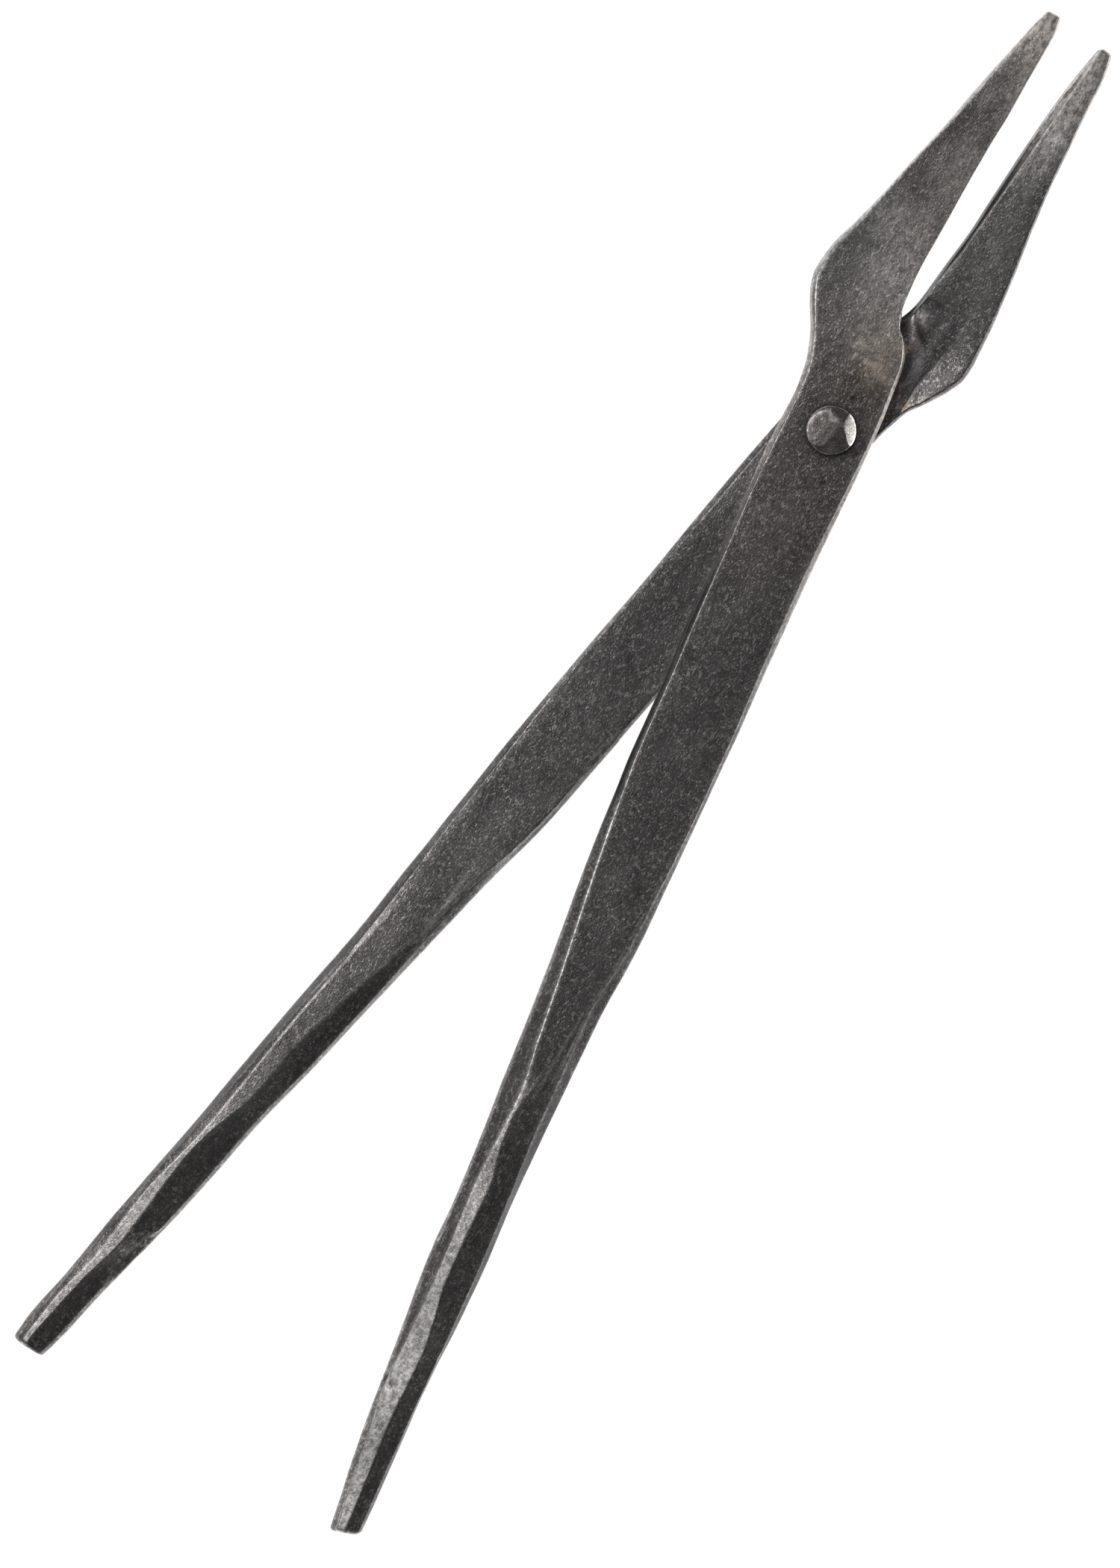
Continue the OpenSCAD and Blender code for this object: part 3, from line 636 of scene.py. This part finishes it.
rivetHead = {
    "diameter": 13.2, "height": 3.6, "rim": 1.9, "lowestTop": 0.4,
    "backDiameter": 13.4, "backFlat": 10.4, "backHeight": 2.6, "shank": 8,
    "barTop": 7.05,                        # outer face of the front bar over the joint plane
    # each hammered face: direction, tilt, height above the bar, softness of its ridges
    "faces": [(215, 6.5, 3.01, 0.12), (299, 6, 3.08, 0.12), (77.5, 24.8, 4.19, 0.3), (35, 37, 4.46, 0.1),
              (300, 33, 4.47, 0.1)],
    # painted highlights along the ridge of the hammered faces and on the lower facet: x, y, half width, half
    # length, strength
    "rubbedAndHighlight": [(-1.3, 2.7, 1.0, 0.7, 0.9), (-2.4, 3.5, 0.6, 0.35, 1), (-4.7, 4.2, 0.45, 0.4, 1),
               (-3.5, 4.2, 0.35, 0.3, 1), (2.3, -4.3, 0.9, 1.2, 0.4)],
    "outOfRound": [(2, 0.012, 0.6), (5, 0.01, 2)],         # waves round it, share of the radius, start
    "relief": [(2.2, 0.03), (0.9, 0.02)], "seed": 5,
    "ridgeWidth": 0.08, "ridgeWear": 0.5, "rimBand": (0.5, 0.1), "rimWear": 0.8,
    "steps": 150, "domeRows": 44,
}


def softLower(first, second, soft, level):
    # lower of two heights, its crossing rounded: -soft * log(exp(-first / soft) + exp(-second / soft)),
    # both measured from the level. Far from the crossing the lower one stands as it is
    reach, far = 9, 20
    a = np.clip(first - level, -reach, reach) / soft
    b = np.clip(second - level, -reach, reach) / soft
    blend = level - soft * np.log(np.exp(-a) + np.exp(-b))
    gap = (first - second) / soft
    return np.where(gap > far, second, np.where(gap < -far, first, blend))


def rivetProfile(s, bar):
    # rows (radius, height) from the middle of the head over its rim, down the shank and across the back head
    radius, back = s["diameter"] / 2, s["backDiameter"] / 2
    shank, flat, backTop = s["shank"] / 2, s["backFlat"] / 2, s["backHeight"]
    dome = [(radius * math.sin(t * math.pi / 2), bar) for t in np.linspace(0, 1, s["domeRows"])]
    dome[0] = (0.05, bar)
    rim = [(radius, bar + 0.35), (radius - 0.15, bar + 0.1), (radius - 0.4, bar), (shank + 0.3, bar)]
    neck = [(shank, bar - 0.3)] + [(shank, h) for h in np.linspace(bar - 1, backTop + 1, 8)]
    foot = [(shank, backTop + 0.2), (shank + 0.3, backTop), (back - 0.3, backTop), (back, backTop - 0.3)]
    foot += [(flat + (back - flat) * t, backTop * t) for t in (0.8, 0.6, 0.4, 0.2)]
    foot += [(flat, 0.05), (flat - 0.4, 0)] + [(flat * t, 0) for t in (0.75, 0.5, 0.25, 0.08)]
    return np.array(dome + rim + neck + foot)


def makeRivet():
    # the turned profile, a little out of round at the head, whose top is the lowest of a dome and the
    # hammered planes; the ridges between the planes and the head's rim are worn
    s = rivetHead
    bar = pivot[2] / mm + s["barTop"]
    radius = s["diameter"] / 2
    profile = rivetProfile(s, bar)
    rows = np.arange(len(profile))[:, None]
    turn = np.arange(s["steps"]) * 2 * math.pi / s["steps"]
    wobble = 1
    for waves, share, start in s["outOfRound"]:
        wobble = wobble + share * np.sin(waves * turn + start)
    r = profile[:, :1]
    rimRows = 2
    around = np.where(rows < s["domeRows"] + rimRows, r * wobble, r)
    x, y = around * np.cos(turn), around * np.sin(turn)
    dome = bar + s["rim"] + (s["height"] - s["rim"]) * np.sqrt(np.clip(1 - (r / radius) ** 2, 0, 1))
    z = np.repeat(dome, s["steps"], axis=1)
    levels = [z]
    for direction, tilt, height, soft in s["faces"]:
        a, t = math.radians(direction) + halfOpen, math.radians(tilt)
        plane = bar + (height - math.sin(t) * (x * math.cos(a) + y * math.sin(a))) / math.cos(t)
        levels.append(plane)
        z = softLower(z, plane, soft, bar)
    top = (rows < s["domeRows"]) & np.ones_like(x, bool)
    z = np.where(top, np.maximum(z, bar + s["lowestTop"]), profile[:, 1:])
    points = np.stack([x, y, z], axis=2)
    shift = 50                                 # into the noise, clear of its origin
    points = points + gridNormals(points) * (uneven(points + shift, s) * top)[:, :, None]
    lowest = np.sort(levels, axis=0)
    ridge = np.exp(-((lowest[1] - lowest[0]) / s["ridgeWidth"]) ** 2) * s["ridgeWear"]
    inner, outer = s["rimBand"]
    rim = fade(around, radius - inner, radius - outer) * s["rimWear"]
    wear = np.where(top, np.maximum(rim, ridge), 0)
    # the rub mark holds the painted highlights on the head, and the painted shade mark is nought here
    marks = {"wear": wear, "rust": 0 * wear, "rub": patches(points, s["rubbedAndHighlight"]) * top, "soot": 0 * wear}
    return makeMesh("rivet_hammered", points, marks)


def node(tree, kind, **values):
    # new node, with each value put into the input or the setting of that name
    made = tree.nodes.new(kind)
    for key, value in values.items():
        if key in made.inputs:
            made.inputs[key].default_value = value
        else:
            setattr(made, key, value)
    return made


def ramp(tree, source, stops):
    # straight lines between the stops (place, level), level at both ends
    made = tree.nodes.new("ShaderNodeValToRGB")
    band = made.color_ramp
    while len(band.elements) < len(stops):
        band.elements.new(0.5)
    for element, (at, level) in zip(band.elements, stops):
        element.position = at
        element.color = grey(level)
    tree.links.new(source, made.inputs["Fac"])
    return made.outputs["Color"]


def mixColor(tree, factor, first, second, how="MIX"):
    # first colour where the factor is 0, second (or their product) where it is 1
    made = tree.nodes.new("ShaderNodeMix")
    made.data_type = "RGBA"
    made.blend_type = how
    for socket, value in ((made.inputs[0], factor), (made.inputs[6], first), (made.inputs[7], second)):
        if isinstance(value, bpy.types.NodeSocket):
            tree.links.new(value, socket)
        else:
            socket.default_value = value
    return made.outputs[2]


def mathNode(tree, how, first, second):
    made = tree.nodes.new("ShaderNodeMath")
    made.operation = how
    for socket, value in zip(made.inputs, (first, second)):
        if isinstance(value, bpy.types.NodeSocket):
            tree.links.new(value, socket)
        else:
            socket.default_value = value
    return made.outputs[0]


def grey(value, red=0.0, blue=0.0):
    # neutral colour, with its red and blue raised by those shares
    return (value * (1 + red), value, value * (1 + blue), 1)


# flake, grain and pit are the noises' scales per metre, relief is the bump's height in metres
forgedLook = {
    # the darkest colour here is painted shade, and the worn colour also paints highlights on rubbed patches
    "dark": grey(0.12, 0.05, 0.015), "light": grey(0.25, 0.05, 0), "soot": grey(0.055, 0.03, 0.01),
    "worn": grey(0.86, 0.03, -0.02), "fleck": grey(0.8, 0.06, -0.07),
    "rust": (0.62, 0.48, 0.36, 1), "rustTint": (1.12, 1, 0.89, 1), "metallic": 0.9,
    "flake": 450, "grain": 2100, "pit": 900, "relief": 0.00009,
    "rough": (0.36, 0.27), "rubbedRough": 0.45,
}
rivetLook = {
    "dark": grey(0.12, 0.09, -0.06), "light": grey(0.27, 0.08, -0.05), "soot": grey(0.09, 0.02, 0),
    "worn": grey(0.8, 0.03, 0), "fleck": grey(0.6, 0.08, -0.08),
    "rust": (0.36, 0.25, 0.17, 1), "rustTint": (1.12, 1, 0.89, 1), "metallic": 0.95,
    "flake": 500, "grain": 2400, "pit": 900, "relief": 0.00006,
    "rough": (0.36, 0.25), "rubbedRough": 0.45,
}


def forgedSteel(name, look):
    # scale mottled by two sizes of noise, then in layers: flecks and chips of fine noise, painted shade, bare
    # metal on worn edges and rubbed patches that also paint highlights, a rust tint and rust spots. Roughness
    # follows the mottling, and the bump is grain, flakes and pits added up
    material = bpy.data.materials.new(name)
    material.use_nodes = True
    tree = material.node_tree
    shader = tree.nodes["Principled BSDF"]
    drawn = node(tree, "ShaderNodeMapping", Scale=(1, 0.65, 1))      # longer along the bars
    tree.links.new(tree.nodes.new("ShaderNodeTexCoord").outputs["Object"], drawn.inputs["Vector"])
    where = drawn.outputs["Vector"]

    def attribute(key):
        return node(tree, "ShaderNodeAttribute", attribute_name=key).outputs["Fac"]

    def noise(scale, detail, roughness):
        made = node(tree, "ShaderNodeTexNoise", Scale=scale, Detail=detail, Roughness=roughness)
        tree.links.new(where, made.inputs["Vector"])
        return made.outputs["Fac"]

    def times(first, second):
        return mathNode(tree, "MULTIPLY", first, second)

    def plus(first, second):
        return mathNode(tree, "ADD", first, second)

    flake = noise(look["flake"], 5, 0.7)
    cloud = noise(look["flake"] / 5, 3, 0.5)
    grain = noise(look["grain"], 3, 0.65)
    pits = node(tree, "ShaderNodeTexVoronoi", Scale=look["pit"])
    tree.links.new(where, pits.inputs["Vector"])
    pit = ramp(tree, pits.outputs["Distance"], [(0.05, 0.0), (0.32, 1.0)])

    patch = plus(times(flake, 0.62), times(cloud, 0.38))
    color = mixColor(tree, ramp(tree, patch, [(0.40, 0.0), (0.62, 1.0)]), look["dark"], look["light"])
    crowd = ramp(tree, noise(look["grain"] * 0.3, 3, 0.6), [(0.42, 0.25), (0.62, 1.0)])
    flecks = times(ramp(tree, grain, [(0.55, 0.0), (0.66, 0.8)]), crowd)
    color = mixColor(tree, flecks, color, look["fleck"])
    chips = ramp(tree, noise(look["grain"] * 0.48, 4, 0.75), [(0.56, 0.0), (0.61, 0.5)])
    color = mixColor(tree, chips, color, look["fleck"])
    # painted shade: darkens the colour where the bar lies in shade
    color = mixColor(tree, times(attribute("soot"), 0.85), color, look["soot"])

    spotty = ramp(tree, noise(look["grain"] * 0.6, 2, 0.6), [(0.40, 0.0), (0.60, 1.0)])
    worn = times(attribute("wear"), plus(times(spotty, 0.75), 0.25))
    color = mixColor(tree, worn, color, look["worn"])
    smear = ramp(tree, noise(look["grain"] * 0.38, 5, 0.75), [(0.42, 0.2), (0.58, 1.0)])
    # rubbed bare metal, partly painted highlight
    color = mixColor(tree, times(attribute("rub"), smear), color, look["worn"])
    color = mixColor(tree, attribute("rust"), color, look["rustTint"], "MULTIPLY")
    rusty = times(ramp(tree, attribute("rust"), [(0.7, 0.0), (0.95, 1.0)]), spotty)
    color = mixColor(tree, rusty, color, look["rust"])
    tree.links.new(color, shader.inputs["Base Color"])

    roughest, smoothest = look["rough"]
    rough = ramp(tree, patch, [(0.35, roughest), (0.7, smoothest)])
    rough = mixColor(tree, attribute("rub"), rough, grey(look["rubbedRough"]))
    tree.links.new(rough, shader.inputs["Roughness"])
    metal = times(mathNode(tree, "SUBTRACT", 1.0, rusty), look["metallic"])    # rust spots are no metal
    tree.links.new(metal, shader.inputs["Metallic"])

    height = plus(times(grain, 0.8), times(flake, 0.5))
    height = plus(height, times(pit, 0.25))
    bump = node(tree, "ShaderNodeBump", Strength=1.0, Distance=look["relief"])
    tree.links.new(height, bump.inputs["Height"])
    tree.links.new(bump.outputs["Normal"], shader.inputs["Normal"])
    return material


def dress(piece, material):
    # that material and no other
    piece.data.materials.clear()
    piece.data.materials.append(material)


studio = {
    "floor": 6.0, "floorGlow": 0.99, "floorGrey": 0.12,
    # height of the look-out over the horizon (0 level, 1 straight up) and how bright it is there
    "sky": [(0.0, 0.8), (0.04, 0.35), (0.25, 0.2), (0.5, 0.085), (0.7, 0.062), (1.0, 0.08)],
    # turn in the picture (0 right, 90 up), height angle, distance, width, glow
    "lamps": [(148, 58, 2.6, 1.2, 3.4), (84, 57, 2.6, 1.0, 1.5), (8, 14, 2.4, 0.7, 6.5)],
    # the camera looks straight down: the picture's height in metres at the joint, its middle and its turn
    "lens": 200, "sensor": 36, "tall": 0.42, "middle": (-0.0116, -0.1184), "turn": 31.9,
}


def makeStudio():
    # a glowing pale floor, a sky that is brightest at its rim, soft square lamps and the camera
    s = studio
    bpy.ops.mesh.primitive_plane_add(size=s["floor"], location=(0, 0, 0))
    floor = bpy.context.object
    floor.name = "floor"
    cloth = bpy.data.materials.new("pale_floor")
    cloth.use_nodes = True
    shader = cloth.node_tree.nodes["Principled BSDF"]
    shader.inputs["Base Color"].default_value = grey(s["floorGrey"])
    shader.inputs["Roughness"].default_value = 1
    shader.inputs["Specular IOR Level"].default_value = 0
    shader.inputs["Emission Color"].default_value = grey(1)
    shader.inputs["Emission Strength"].default_value = s["floorGlow"]
    dress(floor, cloth)

    world = bpy.data.worlds.new("studio")
    bpy.context.scene.world = world
    world.use_nodes = True
    tree = world.node_tree
    split = tree.nodes.new("ShaderNodeSeparateXYZ")
    tree.links.new(tree.nodes.new("ShaderNodeTexCoord").outputs["Generated"], split.inputs[0])
    tree.links.new(ramp(tree, split.outputs["Z"], s["sky"]), tree.nodes["Background"].inputs["Color"])

    for n, (turn, height, distance, width, glow) in enumerate(s["lamps"]):
        a, e = math.radians(turn + s["turn"]), math.radians(height)      # direction and height of the lamp
        data = bpy.data.lights.new(f"lamp{n}", "AREA")
        data.shape = "SQUARE"
        data.size = width
        data.energy = glow * math.pi * width * width
        lamp = bpy.data.objects.new(f"lamp{n}", data)
        bpy.context.scene.collection.objects.link(lamp)
        x, y = s["middle"]
        lamp.location = (x + distance * math.cos(e) * math.cos(a), y + distance * math.cos(e) * math.sin(a),
                         distance * math.sin(e))
        lamp.rotation_euler = (math.pi / 2 - e, 0, a + math.pi / 2)
        lamp.visible_camera = False

    data = bpy.data.cameras.new("camera")
    data.lens = s["lens"]
    data.sensor_width = s["sensor"]
    data.clip_end = 100
    camera = bpy.data.objects.new("camera", data)
    bpy.context.scene.collection.objects.link(camera)
    away = s["tall"] * s["lens"] / s["sensor"]
    camera.location = (*s["middle"], pivot[2] + away)
    camera.rotation_euler = (0, 0, math.radians(s["turn"]))
    bpy.context.scene.camera = camera
    bpy.context.scene.view_settings.view_transform = "Standard"


makeStudio()
print("floor, lamps and camera placed")

forged = forgedSteel("forged_steel", forgedLook)
rivetSteel = forgedSteel("rivet_steel", rivetLook)

front = makeFrontHalf()
dress(front, forged)
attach(front, "front")
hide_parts("front_half")
print("front half forged", len(front.data.polygons), "faces")

rear = makeRearHalf()
dress(rear, forged)
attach(rear, "rear")
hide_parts("rear_half")
print("rear half forged", len(rear.data.polygons), "faces")

rivet = makeRivet()
dress(rivet, rivetSteel)
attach(rivet, "front")
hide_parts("rivet")
print("rivet set", len(rivet.data.polygons), "faces")
